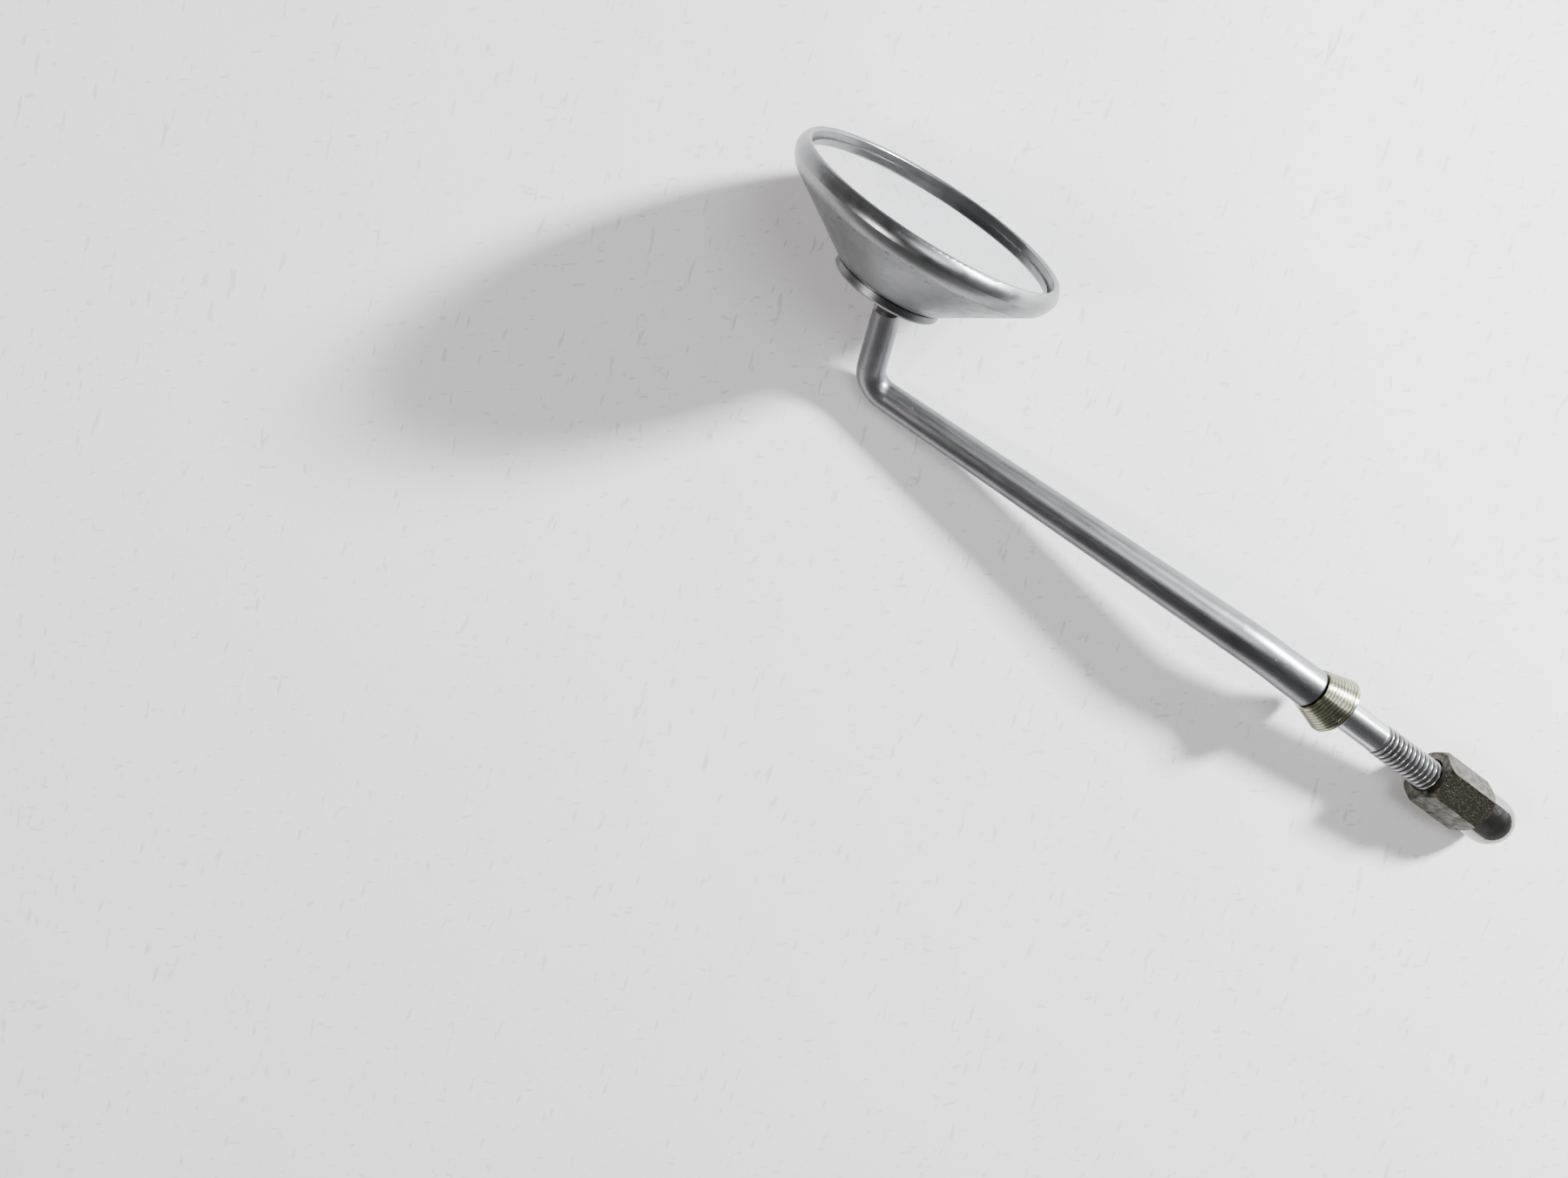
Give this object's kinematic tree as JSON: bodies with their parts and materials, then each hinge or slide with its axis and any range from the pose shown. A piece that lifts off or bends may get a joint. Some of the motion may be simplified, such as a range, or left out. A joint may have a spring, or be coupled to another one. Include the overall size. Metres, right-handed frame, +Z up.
{
  "type": "round stem mirror",
  "caption": "Round mirror in a shallow shell on a ball joint, carried by a bent tapered arm with a threaded stud, a loose tapered collar and an acorn nut.",
  "frame": {"origin": "on the stud's axis, where the stud leaves the arm's thick end", "axes": "+Z up as the mirror lies on a table, -X along the arm towards the head, +Y towards the side the glass faces"},
  "size_m": [0.2308, 0.0574, 0.0592],
  "materials": {
    "cast_satin": "satin, polished by hand",
    "shell_satin": "satin with a bright rolled lip",
    "stud_steel": "bright zinc",
    "collar_steel": "yellowed zinc, turned",
    "nut_steel": "dull nickel, mottled",
    "dome_steel": "polished nickel",
    "ball_steel": "polished",
    "black_rubber": "matt",
    "nylon": "natural nylon",
    "cup_steel": "oiled",
    "spring_steel": "dark spring steel",
    "plate_steel": "zinc plated",
    "screw_steel": "zinc plated",
    "carrier_plastic": "black moulded",
    "foam": "closed-cell foam",
    "mirror_glass": "silvered on the back"
  },
  "bodies": {
    "arm": {"stem": "cast_satin", "mount_stud": "stud_steel", "ball_stud": "ball_steel", "neck_ring": "black_rubber"},
    "collar": {"taper_collar": "collar_steel"},
    "nut_travelling": {"nut_dome": "dome_steel"},
    "nut_turning": {"nut_hex": "nut_steel"},
    "liner": {"ball_liner": "nylon"},
    "cups": {"front_cup": "cup_steel", "rear_cup": "cup_steel"},
    "head": {"housing_shell": "shell_satin", "front_seat": "nylon", "disc_spring": "spring_steel", "clamp_plate": "plate_steel", "clamp_screws": "screw_steel", "lock_washers": "spring_steel", "glass_carrier": "carrier_plastic", "foam_pad": "foam", "mirror_glass": "mirror_glass", "glass_seal": "black_rubber"}
  },
  "joints": [
    {"name": "collar_slide", "type": "slide", "parent": "arm", "child": "collar", "axis": [0.994, -0.0262, -0.1066], "range_m": [0, 0.018]},
    {"name": "nut_travel", "type": "slide", "parent": "arm", "child": "nut_travelling", "axis": [0.994, -0.0262, -0.1066], "range_m": [-0.01135, 0.0043]},
    {"name": "nut_turn", "type": "hinge", "parent": "nut_travelling", "child": "nut_turning", "pos_m": [0.04473, -0.00118, -0.00479], "axis": [0.994, -0.0262, -0.1066], "range_deg": [-2880, 1080]},
    {"name": "head_tilt", "type": "hinge", "parent": "arm", "child": "liner", "pos_m": [-0.13508, 0.02314, 0.01261], "axis": [0.8304, -0.1951, 0.5219], "range_deg": [-3, 48]},
    {"name": "head_lean", "type": "hinge", "parent": "liner", "child": "cups", "pos_m": [-0.13508, 0.02314, 0.01261], "axis": [0.5561, 0.3476, -0.7549], "range_deg": [-12, 12]},
    {"name": "head_spin", "type": "hinge", "parent": "cups", "child": "head", "pos_m": [-0.13508, 0.02314, 0.01261], "axis": [-0.0341, 0.9171, 0.3971], "continuous": true}
  ],
  "couplings": [
    {"joint": "nut_travel", "follows": "nut_turn", "m_per_rad": 0.00022457}
  ]
}
